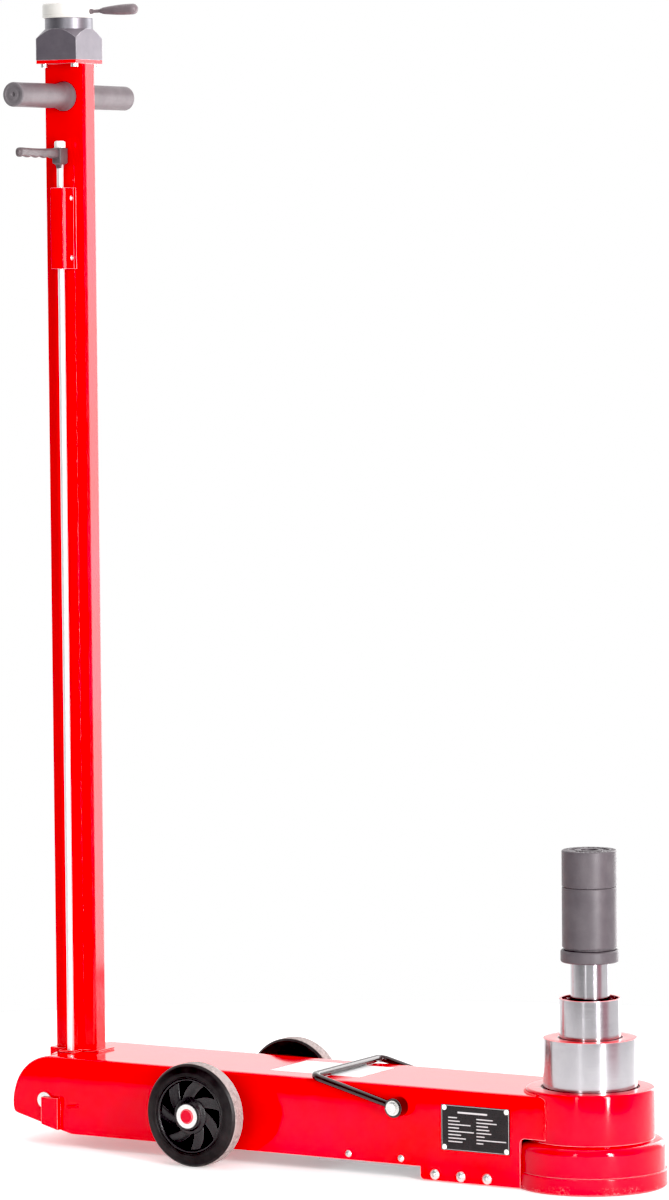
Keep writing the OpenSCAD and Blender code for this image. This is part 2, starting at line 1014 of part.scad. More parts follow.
module release_rod() {
    color(bright)
        translate([rod_line_x, rod_line_y, rod_low]) {
            cylinder(r = rod_d / 2, h = lever_z + lever_h + 4 - rod_low);
            translate([0, 0, spring_foot - 5 - rod_low])
                cylinder(r = 6.2, h = 5);
        }
}

module squeeze_lever() {
    hub_r = 12;
    arm_t = 9;
    arm_h = 15;
    tip_r = arm_h / 2;
    arm_z = lever_z + lever_h - arm_h;
    tip_y = rod_line_y - lever_len + tip_r;
    notches = 4;
    pitch = 21;
    color(dark)
        translate([rod_line_x, 0, 0])
            difference() {
                union() {
                    translate([0, rod_line_y, lever_z])
                        cylinder(r = hub_r, h = lever_h);
                    translate([0, rod_line_y, lever_z - 5])
                        cylinder(r = 6.5, h = 5 + eps);
                    box([-arm_t / 2, tip_y, arm_z], [arm_t / 2, rod_line_y, arm_z + arm_h]);
                    translate([-arm_t / 2, tip_y, arm_z + tip_r])
                        rod_x(tip_r, 0, arm_t);
                }
                translate([0, rod_line_y, lever_z - 6])
                    cylinder(r = rod_d / 2, h = lever_h + 8);
                for (i = [0:notches - 1])
                    translate([-far / 2, tip_y + 14 + pitch * i, arm_z - 10])
                        rod_x(12.5, 0, far);
            }
}

module lever_cap_nut() {
    low = lever_z + lever_h;
    r = 7.7;
    h = 9.6;
    edge = 3;
    color(white)
        difference() {
            translate([rod_line_x, rod_line_y, low])
                rotate_extrude()
                    polygon(concat([[0, 0], [r, 0]], arc([r - edge, h - edge], edge, 0, 90, 6),
                        [[0, h]]));
            translate([rod_line_x, rod_line_y, low - 1])
                cylinder(r = rod_d / 2, h = 5);
        }
}

module rod_spring() {
    top = guide_z + guide_h - 3;
    color(bright)
        translate([rod_line_x, rod_line_y, spring_foot + 0.2])
            coil(5.6, 0.5, top - spring_foot - 0.4, 16, 6, 12);
}

// ---- Wheels ----

module tyre() {
    edge = 5;
    w = tyre_w;
    bulge = lip_out + 0.4;
    color(black)
        translate([-axle_back, -wheel_y + w, axle_z])
            rotate([90, 0, 0])
                rotate_extrude($fn = 96)
                    polygon(concat([[rim_r, 0]],
                        arc([wheel_r - edge, edge], edge, 270, 360, 6),
                        arc([wheel_r - edge, w - edge], edge, 0, 90, 6),
                        [[rim_r + 3, w + bulge], [rim_r, w + bulge]]));
}

// Moulded wheel centre: rim, hub barrel and a web of straight, swept spokes
module wheel_hub() {
    hub_r = 23;
    rim_t = 5;
    web_t = 12;
    spoke_w = 8.5;
    spoke_shift = 11;
    w = tyre_w + lip_out;
    recess = 3;
    color(black)
        translate([-axle_back, -wheel_y + tyre_w, axle_z])
            rotate([90, 0, 0])
                difference() {
                    union() {
                        ring(rim_r, rim_r - rim_t, w);
                        cylinder(r = hub_r, h = w - recess + 1);
                        cylinder(r = 18.5, h = tyre_w + hub_out);
                        translate([0, 0, w - recess - web_t])
                            linear_extrude(web_t)
                                intersection() {
                                    circle(rim_r - 1);
                                    for (i = [0:spokes - 1])
                                        rotate(360 * i / spokes)
                                            translate([0, spoke_shift])
                                                square([rim_r, spoke_w]);
                                }
                    }
                    translate([0, 0, -1])
                        cylinder(r = axle_d / 2 + run, h = far);
                }
}

module tyre_near() {
    tyre();
}

module tyre_far() {
    mirror([0, 1, 0])
        tyre();
}

module wheel_hub_near() {
    wheel_hub();
}

module wheel_hub_far() {
    mirror([0, 1, 0])
        wheel_hub();
}

// ---- Carry handle ----

module carry_bail() {
    r = bail_d / 2;
    rise = body_top + 5.6 - bail_z;
    reach = sqrt(bail_reach * bail_reach + rise * rise);
    arm_y = half_w + 9;
    bend = 12;
    boss = [half_w + 0.6, half_w + 17.4];
    color(black)
        translate([-bail_back, 0, bail_z])
            rotate([0, atan2(rise, bail_reach), 0])
                difference() {
                    union() {
                        both_sides() {
                            rod_y(12.9, -boss[1], -boss[0]);
                            translate([0, -arm_y, 0])
                                rod_x(r, -reach + bend, 0);
                            translate([-reach + bend, -arm_y + bend, 0])
                                rotate([0, 0, 180])
                                    rotate_extrude(angle = 90)
                                        translate([bend, 0])
                                            circle(r);
                        }
                        translate([-reach, 0, 0])
                            rod_y(r, -arm_y + bend, arm_y - bend);
                    }
                    rod_y(5 + run, -far, far);
                }
}

foot_disc();
outer_cylinder();
gland_bush_1();
piston_1();
gland_bush_2();
piston_2();
gland_bush_3();
piston_3();
saddle_flange();
extension_lower();
extension_upper();
side_plate_near();
side_plate_far();
top_cover();
bottom_cover();
cover_screws();
base_plate();
skirt_bolts();
nameplate();
nameplate_rivets();
top_label();
pivot_pin();
pivot_keepers();
axle();
axle_spacers();
axle_washers();
bail_bolts();
oil_reservoir();
pump_block();
air_motor_barrel();
motor_end_cap();
pressure_pipe();
air_piston();
pump_plunger();
plunger_spring();
post_tube();
post_collar();
pivot_hub();
rod_guide();
guide_screws();
cross_tube();
grip_near();
grip_far();
valve_plate();
valve_plate_bolts();
valve_body();
valve_neck();
air_hose();
release_rod();
squeeze_lever();
lever_cap_nut();
rod_spring();
valve_cap();
valve_stem();
valve_knob();
tyre_near();
tyre_far();
wheel_hub_near();
wheel_hub_far();
carry_bail();
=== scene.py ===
import json
import math

import bmesh
import bpy
from mathutils import Matrix, Vector

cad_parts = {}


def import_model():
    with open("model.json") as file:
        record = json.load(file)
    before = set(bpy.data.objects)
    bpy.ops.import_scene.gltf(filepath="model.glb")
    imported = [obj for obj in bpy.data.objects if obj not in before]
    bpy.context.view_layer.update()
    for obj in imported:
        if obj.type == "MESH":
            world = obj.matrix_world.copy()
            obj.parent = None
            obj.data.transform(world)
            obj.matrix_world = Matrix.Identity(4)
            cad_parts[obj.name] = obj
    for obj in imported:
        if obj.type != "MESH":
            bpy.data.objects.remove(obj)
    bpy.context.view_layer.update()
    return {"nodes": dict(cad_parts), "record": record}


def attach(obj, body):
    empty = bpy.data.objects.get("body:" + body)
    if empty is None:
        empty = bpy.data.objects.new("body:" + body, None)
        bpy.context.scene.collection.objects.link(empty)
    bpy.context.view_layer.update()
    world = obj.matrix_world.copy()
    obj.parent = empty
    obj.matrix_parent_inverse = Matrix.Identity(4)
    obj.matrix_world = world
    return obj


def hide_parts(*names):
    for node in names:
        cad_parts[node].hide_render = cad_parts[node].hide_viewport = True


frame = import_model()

MM = 0.001
NODES = frame["nodes"]
SLOT_OF = {s["node"]: s["material_slot"] for s in frame["record"]["subparts"]}


# ---------------------------------------------------------------- materials

class Nodes:
    """A small helper that builds one material's node tree."""

    def __init__(self, name):
        self.mat = bpy.data.materials.new(name)
        self.mat.use_nodes = True
        self.tree = self.mat.node_tree
        self.shader = self.tree.nodes["Principled BSDF"]
        coords = self.add("ShaderNodeTexCoord")
        self.where = coords.outputs["Object"]

    def add(self, kind, **settings):
        node = self.tree.nodes.new(kind)
        for key, value in settings.items():
            setattr(node, key, value)
        return node

    def link(self, a, b):
        self.tree.links.new(a, b)

    def noise(self, scale, detail=4.0, rough=0.6, stretch=None):
        """A noise in object space; stretch is its scale along each axis."""
        source = self.where
        if stretch:
            mapping = self.add("ShaderNodeMapping")
            mapping.inputs["Scale"].default_value = stretch
            self.link(source, mapping.inputs["Vector"])
            source = mapping.outputs["Vector"]
        node = self.add("ShaderNodeTexNoise")
        node.inputs["Scale"].default_value = scale
        node.inputs["Detail"].default_value = detail
        node.inputs["Roughness"].default_value = rough
        self.link(source, node.inputs["Vector"])
        return node.outputs["Fac"]

    def span(self, value, low, high, out_low=0.0, out_high=1.0):
        """Takes low..high to out_low..out_high, and holds at the ends."""
        node = self.add("ShaderNodeMapRange")
        node.inputs["From Min"].default_value = low
        node.inputs["From Max"].default_value = high
        node.inputs["To Min"].default_value = out_low
        node.inputs["To Max"].default_value = out_high
        self.link(value, node.inputs["Value"])
        return node.outputs["Result"]

    def times(self, a, b):
        node = self.add("ShaderNodeMath", operation="MULTIPLY")
        self.link(a, node.inputs[0])
        if isinstance(b, float):
            node.inputs[1].default_value = b
        else:
            self.link(b, node.inputs[1])
        return node.outputs[0]

    def mix(self, factor, a, b):
        """From a at 0 to b at 1, where each is a colour or a socket."""
        node = self.add("ShaderNodeMix", data_type="RGBA")
        self.link(factor, node.inputs["Factor"])
        for value, socket in ((a, node.inputs[6]), (b, node.inputs[7])):
            if isinstance(value, tuple):
                socket.default_value = (*value, 1.0)
            else:
                self.link(value, socket)
        return node.outputs[2]

    def height(self):
        """The height above the floor, in metres."""
        node = self.add("ShaderNodeSeparateXYZ")
        self.link(self.where, node.inputs[0])
        return node.outputs["Z"]

    def edge(self, radius_mm, low=0.93, high=0.995):
        """1 along a sharp edge and 0 on open ground, from how far a rounded normal turns."""
        soft_normal = self.add("ShaderNodeBevel", samples=6)
        soft_normal.inputs["Radius"].default_value = radius_mm * MM
        ground = self.add("ShaderNodeNewGeometry")
        turn = self.add("ShaderNodeVectorMath", operation="DOT_PRODUCT")
        self.link(soft_normal.outputs["Normal"], turn.inputs[0])
        self.link(ground.outputs["Normal"], turn.inputs[1])
        return self.span(turn.outputs["Value"], low, high, 1.0, 0.0)

    def bump(self, value, strength, depth_mm):
        """Adds relief on top of any that is there already."""
        node = self.add("ShaderNodeBump")
        node.inputs["Strength"].default_value = strength
        node.inputs["Distance"].default_value = depth_mm * MM
        self.link(value, node.inputs["Height"])
        before = self.shader.inputs["Normal"]
        if before.is_linked:
            self.link(before.links[0].from_socket, node.inputs["Normal"])
        self.link(node.outputs["Normal"], before)

    def colour(self, socket):
        self.link(socket, self.shader.inputs["Base Color"])

    def roughness(self, socket):
        self.link(socket, self.shader.inputs["Roughness"])

    def constants(self, **values):
        for key, value in values.items():
            self.shader.inputs[key.replace("_", " ")].default_value = value


def surface(name, base, second, patch=25.0, amount=0.5, rough=0.5, rough_var=0.08,
            grain=500.0, grain_strength=0.1, grain_mm=0.15, worn=None, **constants):
    """Colour, roughness and relief that all vary a little; worn is the colour of pale edges, partly
    real wear and partly a painted highlight.
    """
    n = Nodes(name)
    colour = n.mix(n.span(n.noise(patch), 0.35, 0.7, 0.0, amount), base, second)
    if worn:
        # Pale patches along sharp edges: partly real wear, partly a painted highlight.
        wear_and_edge_highlight = n.times(n.edge(0.9), n.span(n.noise(70.0, 5.0, 0.7), 0.36, 0.60, 0.15, 0.9))
        colour = n.mix(wear_and_edge_highlight, colour, worn)
    n.colour(colour)
    fine = n.noise(grain, 5.0, 0.6)
    n.roughness(n.span(fine, 0.3, 0.7, rough - rough_var, rough + rough_var))
    n.bump(fine, grain_strength, grain_mm)
    n.constants(**constants)
    return n


def red_paint(name, wear=False, base=(0.88, 0.0, 0.004), deep=(0.80, 0.0, 0.022)):
    """High gloss enamel with faint orange peel, pale at its edges from a painted highlight; wear
    adds scuffs low down.
    """
    n = Nodes(name)
    paint = n.mix(n.span(n.noise(6.0), 0.35, 0.65), base, deep)
    peel = n.noise(420.0, 2.0, 0.5)
    smudge = n.noise(22.0, 5.0, 0.7)
    gloss = n.span(smudge, 0.3, 0.75, 0.06, 0.13)
    if wear:
        low = n.span(n.height(), 0.002, 0.013, 1.0, 0.0)
        speck = n.span(n.noise(330.0, 6.0, 0.75), 0.54, 0.60)
        patch = n.span(n.noise(38.0, 4.0, 0.6), 0.47, 0.60)
        worn = n.times(n.times(speck, patch), low)
        paint = n.mix(worn, paint, (0.62, 0.30, 0.31))
        gloss = n.mix(worn, gloss, (0.6, 0.6, 0.6))
        n.bump(worn, 0.5, 0.15)
    # Pale pink along sharp edges, patchy along their length: a painted highlight.
    edge_highlight = n.times(n.edge(1.1), n.span(n.noise(24.0, 5.0, 0.7), 0.32, 0.58, 0.40, 1.0))
    paint = n.mix(edge_highlight, paint, (0.94, 0.56, 0.58))
    n.colour(paint)
    n.roughness(gloss)
    n.bump(peel, 0.035, 0.1)
    n.constants(Specular_IOR_Level=0.36)
    return n


def turned_metal(name, base, second, rough, lines=2600.0, strength=0.12):
    """Fine lines round the Z axis, as a ground or turned bar shows."""
    n = Nodes(name)
    rings = n.noise(1.0, 3.0, 0.6, stretch=(14.0, 14.0, lines))
    cloud = n.noise(28.0, 5.0, 0.65)
    n.colour(n.mix(n.span(cloud, 0.3, 0.72), base, second))
    n.roughness(n.span(rings, 0.3, 0.7, rough * 0.75, rough * 1.35))
    n.bump(rings, strength, 0.02)
    n.constants(Metallic=1.0)
    return n


MATS = {
    "red_paint": red_paint("paint red"),
    "ram_chrome": turned_metal("ram steel", (0.47, 0.46, 0.48), (0.41, 0.40, 0.42), 0.16),
    "zinc_steel": surface("zinc plate", (0.78, 0.78, 0.77), (0.66, 0.67, 0.64), 90.0, 0.8,
                          0.26, 0.08, 900.0, 0.12, 0.05, Metallic=1.0),
    "dark_steel": surface("phosphated steel", (0.088, 0.077, 0.086), (0.122, 0.108, 0.117), 30.0,
                          0.9, 0.46, 0.08, 1300.0, 0.22, 0.08, worn=(0.30, 0.28, 0.29),
                          Metallic=0.15, Specular_IOR_Level=0.55),
    "spring_steel": surface("spring wire", (0.55, 0.55, 0.57), (0.42, 0.42, 0.45), 90.0, 0.6,
                            0.3, 0.08, 900.0, 0.1, 0.05, Metallic=1.0),
    "axle_paint": red_paint("paint axle", base=(0.70, 0.01, 0.03), deep=(0.5, 0.0, 0.02)),
    "bearing_bronze": surface("bronze", (0.55, 0.36, 0.14), (0.45, 0.28, 0.10), 60.0, 0.6,
                              0.32, 0.06, 700.0, 0.1, 0.05, Metallic=1.0),
    "cast_alloy": surface("cast alloy", (0.55, 0.56, 0.58), (0.42, 0.43, 0.45), 40.0, 0.7,
                          0.48, 0.08, 700.0, 0.35, 0.2, Metallic=1.0),
    "cover_steel": surface("galvanised sheet", (0.50, 0.49, 0.50), (0.38, 0.37, 0.39), 60.0, 0.8,
                           0.42, 0.08, 500.0, 0.1, 0.1, Metallic=1.0),
    "valve_metal": surface("dark anodised", (0.150, 0.136, 0.158), (0.185, 0.168, 0.190), 60.0,
                           0.8, 0.38, 0.06, 2200.0, 0.30, 0.06, worn=(0.70, 0.68, 0.70),
                           Metallic=0.35, Specular_IOR_Level=0.6),
    "valve_neck_metal": turned_metal("neck alloy", (0.275, 0.267, 0.290), (0.225, 0.217, 0.240),
                                     0.42, 3500.0, 0.16),
    "cap_plastic": surface("ivory plastic", (0.72, 0.71, 0.68), (0.67, 0.65, 0.61), 40.0, 0.7,
                           0.32, 0.06, 800.0, 0.06, 0.08),
    "knob_plastic": surface("brown grey plastic", (0.165, 0.135, 0.147), (0.215, 0.178, 0.190),
                            70.0, 0.8, 0.38, 0.07, 1200.0, 0.12, 0.08),
    "lever_plastic": surface("grey brown plastic", (0.092, 0.075, 0.080), (0.132, 0.110, 0.116),
                             60.0, 0.9, 0.40, 0.08, 900.0, 0.2, 0.12),
    "nut_plastic": surface("white plastic", (0.90, 0.89, 0.86), (0.82, 0.80, 0.77), 90.0, 0.6,
                           0.3, 0.06, 900.0, 0.06, 0.08),
    "grip_rubber": surface("grip rubber", (0.122, 0.101, 0.110), (0.160, 0.136, 0.145), 55.0, 0.9,
                           0.47, 0.08, 1500.0, 0.3, 0.12, Specular_IOR_Level=0.6),
    "hose_rubber": surface("hose rubber", (0.03, 0.03, 0.03), (0.05, 0.05, 0.05), 60.0, 0.6,
                           0.5, 0.08, 900.0, 0.2, 0.1),
    "tyre_rubber": surface("tyre rubber", (0.013, 0.0115, 0.012), (0.025, 0.022, 0.023), 60.0,
                           0.9, 0.42, 0.08, 900.0, 0.25, 0.15, Specular_IOR_Level=0.36),
    "wheel_plastic": surface("wheel plastic", (0.012, 0.010, 0.012), (0.022, 0.020, 0.021), 60.0,
                             0.8, 0.27, 0.07, 1000.0, 0.16, 0.1, Specular_IOR_Level=0.6),
    "bail_paint": surface("black enamel", (0.022, 0.010, 0.011), (0.035, 0.018, 0.018), 60.0, 0.8,
                          0.16, 0.05, 500.0, 0.05, 0.1, Coat_Weight=0.5, Coat_Roughness=0.05),
    "plate_paint": surface("black plate", (0.012, 0.010, 0.011), (0.020, 0.017, 0.018), 60.0, 0.7,
                           0.30, 0.06, 900.0, 0.06, 0.05),
    "label_film": surface("label film", (0.78, 0.79, 0.79), (0.74, 0.75, 0.75), 50.0, 0.6,
                          0.35, 0.05, 600.0, 0.04, 0.05),
}
# A darker copy of the body's red for the foot and the cylinder: painted shade; its wear adds real
# scuffs low down.
FOOT_RED = red_paint("paint foot", True, (0.70, 0.0, 0.012), (0.56, 0.0, 0.022)).mat
BAR_INK = surface("plate print", (0.62, 0.60, 0.61), (0.48, 0.46, 0.47), 400.0, 0.8, 0.4, 0.05,
                  900.0, 0.05, 0.05).mat
DARK_SEAL = surface("wiper seal", (0.10, 0.004, 0.010), (0.16, 0.008, 0.016), 90.0, 0.7, 0.35,
                    0.06, 900.0, 0.1, 0.08).mat
ROD_PLATE = surface("bright plate", (0.86, 0.85, 0.86), (0.76, 0.74, 0.76), 120.0, 0.7, 0.14, 0.05,
                    900.0, 0.06, 0.03, Metallic=0.45).mat
# A lighter copy of the grip rubber for the grip's end face: painted light.
GRIP_END = surface("grip end", (0.145, 0.132, 0.142), (0.190, 0.175, 0.185), 90.0, 0.8, 0.5, 0.06,
                   1200.0, 0.3, 0.12).mat


def tread_material():
    """Worn, dusty rubber, for the band of the tyre that rolls on the floor."""
    n = Nodes("tyre tread")
    dust = n.span(n.noise(260.0, 6.0, 0.75), 0.38, 0.62)
    broad = n.span(n.noise(45.0, 4.0, 0.6), 0.3, 0.7)
    worn = n.mix(dust, (0.13, 0.105, 0.100), (0.52, 0.45, 0.43))
    n.colour(n.mix(broad, worn, (0.36, 0.31, 0.30)))
    n.roughness(n.span(dust, 0.0, 1.0, 0.72, 0.9))
    n.bump(n.noise(600.0, 6.0, 0.7), 0.6, 0.35)
    return n.mat


TREAD = tread_material()


def slot_mat(slot):
    return MATS[slot].mat


# ---------------------------------------------------------------- mesh helpers

END_SHARE = 0.45    # how wide a weld bead's ends are, next to its middle


def arc(cx, cy, r, a0, a1, n):
    """Points on an arc from a0 to a1, in degrees."""
    return [(cx + r * math.cos(math.radians(a0 + (a1 - a0) * i / n)),
             cy + r * math.sin(math.radians(a0 + (a1 - a0) * i / n))) for i in range(n + 1)]


def rounded(points, steps=5):
    """Turns a closed loop of (x, y, radius) into points with round corners."""
    out = []
    count = len(points)
    for i, (x, y, r) in enumerate(points):
        p = Vector((x, y))
        a = Vector(points[i - 1][:2]) - p
        b = Vector(points[(i + 1) % count][:2]) - p
        if r <= 0 or a.length < 1e-9 or b.length < 1e-9:
            out.append((x, y))
            continue
        la, lb = a.length, b.length
        a.normalize()
        b.normalize()
        half = a.angle(b) / 2
        if abs(half - math.pi / 2) < 1e-3:
            out.append((x, y))
            continue
        back = min(r / math.tan(half), la * 0.49, lb * 0.49)
        radius = back * math.tan(half)
        centre = p + (a + b).normalized() * (radius / math.sin(half))
        start, end = p + a * back - centre, p + b * back - centre
        a0 = math.atan2(start.y, start.x)
        turn = (math.atan2(end.y, end.x) - a0 + math.pi) % (2 * math.pi) - math.pi
        for k in range(steps + 1):
            t = a0 + turn * k / steps
            out.append((centre.x + radius * math.cos(t), centre.y + radius * math.sin(t)))
    return out


def clean(mesh):
    """Merges doubled points, drops empty faces and turns the normals outwards."""
    bm = bmesh.new()
    bm.from_mesh(mesh)
    bmesh.ops.remove_doubles(bm, verts=bm.verts, dist=1e-7)
    bmesh.ops.dissolve_degenerate(bm, edges=bm.edges, dist=1e-8)
    bmesh.ops.recalc_face_normals(bm, faces=bm.faces)
    bm.to_mesh(mesh)
    bm.free()


def skin(rings, count, closed=False, flip=False):
    """Quads between rings of count points. If not closed, both ends get a cap."""
    faces = []
    for i in range(rings if closed else rings - 1):
        j = (i + 1) % rings
        for k in range(count):
            m = (k + 1) % count
            if flip:
                faces.append((i * count + k, i * count + m, j * count + m, j * count + k))
            else:
                faces.append((i * count + k, j * count + k, j * count + m, i * count + m))
    if not closed:
        faces.append(tuple(range(count)))
        faces.append(tuple(range(rings * count - 1, (rings - 1) * count - 1, -1)))
    return faces


def make(name, verts, faces, body, slot, replaces=(), mats=None, face_mat=None, angle=40.0,
         own=None):
    """Makes one piece from vertices in millimetres in the row frame."""
    mesh = bpy.data.meshes.new(name)
    mesh.from_pydata([(x * MM, y * MM, z * MM) for x, y, z in verts], [], faces)
    for m in mats or [own or slot_mat(slot)]:
        mesh.materials.append(m)
    if face_mat:
        for poly, index in zip(mesh.polygons, face_mat):
            poly.material_index = index
    clean(mesh)
    mesh.shade_smooth()
    mesh.set_sharp_from_angle(angle=math.radians(angle))
    obj = bpy.data.objects.new(name, mesh)
    bpy.context.scene.collection.objects.link(obj)
    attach(obj, body)
    if replaces:
        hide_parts(*replaces)
    return obj


def lathe(profile, n=96, place=None):
    """A closed profile of (r, z) turned about Z; place maps each point into the row frame."""
    place = place or (lambda x, y, z: (x, y, z))
    verts = []
    for i in range(n):
        a = 2 * math.pi * i / n
        for r, z in profile:
            verts.append(place(r * math.cos(a), r * math.sin(a), z))
    return verts, skin(n, len(profile), closed=True)


def prism(outline, depth, place):
    """A closed outline of (x, y) pushed from z = 0 to depth."""
    n = len(outline)
    verts = [place(x, y, z) for z in (0.0, depth) for x, y in outline]
    faces = [tuple(range(n)), tuple(range(2 * n - 1, n - 1, -1))]
    faces += [(i, (i + 1) % n, n + (i + 1) % n, n + i) for i in range(n)]
    return verts, faces


def tube(path, radius, n=10):
    """A tube along a path, with narrow ends; radius is a function of the distance along it."""
    points = [Vector(p) for p in path]
    last = len(points) - 1
    travel, ring, verts = 0.0, None, []
    for i, p in enumerate(points):
        t = (points[min(i + 1, last)] - points[max(i - 1, 0)]).normalized()
        if ring is None:
            ring = t.orthogonal().normalized()
        ring = (ring - t * ring.dot(t)).normalized()
        side = t.cross(ring)
        if i:
            travel += (p - points[i - 1]).length
        r = radius(travel) * (END_SHARE if i in (0, last) else 1.0)
        for k in range(n):
            a = 2 * math.pi * k / n
            verts.append(tuple(p + ring * (r * math.cos(a)) + side * (r * math.sin(a))))
    return verts, skin(len(points), n, flip=True)


def along(points, step):
    """The same path with a point every step or so."""
    out = []
    for a, b in zip(points, points[1:]):
        a, b = Vector(a), Vector(b)
        n = max(1, round((b - a).length / step))
        out += [tuple(a.lerp(b, i / n)) for i in range(n)]
    return out + [tuple(points[-1])]


def bead(r, pitch=3.4):
    """The radius of a weld bead, whose ripples lie a pitch apart."""
    return lambda s: r * (0.86 + 0.22 * abs(math.sin(math.pi * s / pitch)))


def weld(name, path, r):
    """A painted weld bead on the chassis."""
    verts, faces = tube(along(path, 0.8), bead(r))
    make(name, verts, faces, "chassis", "red_paint", angle=75.0)


# ---------------------------------------------------------------- carried-over CAD nodes

for name, node in NODES.items():
    for index in range(max(1, len(node.material_slots))):
        if index < len(node.material_slots):
            node.material_slots[index].material = slot_mat(SLOT_OF[name])
        else:
            node.data.materials.append(slot_mat(SLOT_OF[name]))
# The foot and the cylinder take the darker red, which is painted shade; the release rod takes its
# bright plate.
for name, own in (("foot_disc", FOOT_RED), ("outer_cylinder", FOOT_RED),
                  ("release_rod", ROD_PLATE)):
    for s in NODES[name].material_slots:
        s.material = own


def soften(name, width_mm, limit=35.0):
    """Rounds a CAD node's sharp edges a little, so that they catch the light."""
    node = NODES[name]
    extra = node.data.attributes.get("custom_normal")
    if extra:
        node.data.attributes.remove(extra)
    node.data.shade_smooth()
    weld_mod = node.modifiers.new("weld", "WELD")
    weld_mod.merge_threshold = 2e-6
    bevel = node.modifiers.new("bevel", "BEVEL")
    bevel.width = width_mm * MM
    bevel.segments = 3
    bevel.limit_method = "ANGLE"
    bevel.angle_limit = math.radians(limit)
    bevel.harden_normals = True
    bevel.use_clamp_overlap = True


for name, width in (("valve_body", 0.9), ("valve_plate", 0.7), ("post_collar", 0.6),
                    ("rod_guide", 0.4), ("pivot_keepers", 0.7), ("base_plate", 0.6),
                    ("outer_cylinder", 1.6), ("foot_disc", 1.2)):
    soften(name, width)


# ---------------------------------------------------------------- chassis shell

HALF_W, BODY_TOP, BODY_LOW, PLATE = 81.0, 122.0, 18.0, 4.0
REAR_X, REAR_Z, REAR_R = -791.5, 61.0, 61.0
REAR_END = 193.05           # where the rounded rear stops, in degrees: 0 is forward, 90 is up
REAR_SLOPE = 14.8           # how steeply the lower edge rises towards the rear, in degrees
CORNER = (-843.13, 49.03)   # the centre of the corner between those two, in x and z
CYL_R = 84.3
FOLD = 5.0                  # the radius of the fold between a side and the top
FOLD_FADE = 165             # the fold dies away from this angle to REAR_END
SLOT_END = -759.5           # the front end of the post's slot


def chassis_shell():
    """The folded body: two sides and a top in one sheet, with soft edges along the top."""
    xs = [-100, -140, -200, -300, -400, -500, -600, -700, -745, SLOT_END, -775]
    arc_steps = 26
    stations = [("top", x) for x in xs]
    stations += [("arc", 90 + (REAR_END - 90) * i / arc_steps) for i in range(arc_steps + 1)]

    def rows(fold):
        """(y, depth below the top) across the sheet, from the near side to the far side."""
        out = []
        for k in range(6):
            a = math.radians(90 * k / 5)
            out.append((-(HALF_W - fold + fold * math.cos(a)), fold * (1 - math.sin(a))))
        inner = [-70, -64, -58, -50, -40, -28, -15]
        out += [(y, 0.0) for y in inner]
        out.append((0.0, 0.0))
        return out + [(-y, d) for y, d in reversed(out[:-1])]

    width = len(rows(FOLD))
    verts, faces = [], []

    def point(station, y, inward):
        kind, value = station
        if kind == "top":
            return (value, y, BODY_TOP - inward)
        a = math.radians(value)
        r = REAR_R - inward
        return (REAR_X + r * math.cos(a), y, REAR_Z + r * math.sin(a))

    for y, inward in rows(FOLD):
        verts.append((-math.sqrt(max(CYL_R ** 2 - y * y, 0)), y, BODY_TOP - inward))
    for station in stations:
        fold = FOLD
        if station[0] == "arc" and station[1] > FOLD_FADE:
            fold = max(0.6, FOLD * (REAR_END - station[1]) / (REAR_END - FOLD_FADE))
        for y, inward in rows(fold):
            verts.append(point(station, y, inward))
    lines = len(stations) + 1
    slot_line = xs.index(SLOT_END) + 1
    middle = width // 2
    for i in range(lines - 1):
        for k in range(width - 1):
            if i >= slot_line and k in (middle - 1, middle):
                continue
            faces.append((i * width + k, (i + 1) * width + k, (i + 1) * width + k + 1,
                          i * width + k + 1))
    low = arc(*CORNER, 8.0, REAR_END + 8, 270 - REAR_SLOPE, 6)
    low += [(-757.0, BODY_LOW), (-209.5, BODY_LOW)]
    low += arc(-203.5, 7.0, 6.0, 180, 270, 6)
    low += [(-60.5, 1.0)]
    low += arc(-53.5, 59.0, 7.0, 180, 90, 6)
    front_x = -math.sqrt(CYL_R ** 2 - HALF_W ** 2)
    low += [(front_x, 66.0)]
    for y, edge in ((-HALF_W, 0), (HALF_W, width - 1)):
        first = len(verts)
        verts += [(x, y, z) for x, z in low]
        upper = [i * width + edge for i in range(lines)]
        faces.append(tuple(upper + list(range(first, first + len(low)))))
    shell = make("chassis_shell", verts, faces, "chassis", "red_paint",
                 ("side_plate_near", "side_plate_far", "top_cover"), angle=32.0)
    outward = [p.normal.z for p in shell.data.polygons if p.center.z > 0.1219]
    if sum(outward) < 0:
        shell.data.flip_normals()
    solid = shell.modifiers.new("sheet", "SOLIDIFY")
    solid.thickness = PLATE * MM
    solid.offset = -1.0
    return shell


def cut(obj, cutters):
    """Takes the cutters out of obj, and applies its modifiers."""
    for i, cutter in enumerate(cutters):
        boolean = obj.modifiers.new(f"cut{i}", "BOOLEAN")
        boolean.operation = "DIFFERENCE"
        boolean.solver = "EXACT"
        boolean.object = cutter
    bpy.context.view_layer.update()
    done = bpy.data.meshes.new_from_object(
        obj.evaluated_get(bpy.context.evaluated_depsgraph_get()))
    old = obj.data
    obj.modifiers.clear()
    obj.data = done
    bpy.data.meshes.remove(old)
    for cutter in cutters:
        bpy.data.objects.remove(cutter)


# The release rod's line beside the post's pivot, and the lock holes in the cover
PIVOT = Vector((-799.0, 0.0, 62.0))
ROD_FORWARD, ROD_SIDE, HOLE_START = 7.5, -28.0, 30.5
LOCK_TILTS = (0, 45, 85)
LOCK_R, CUTTER_LENGTH = 5.6, 70


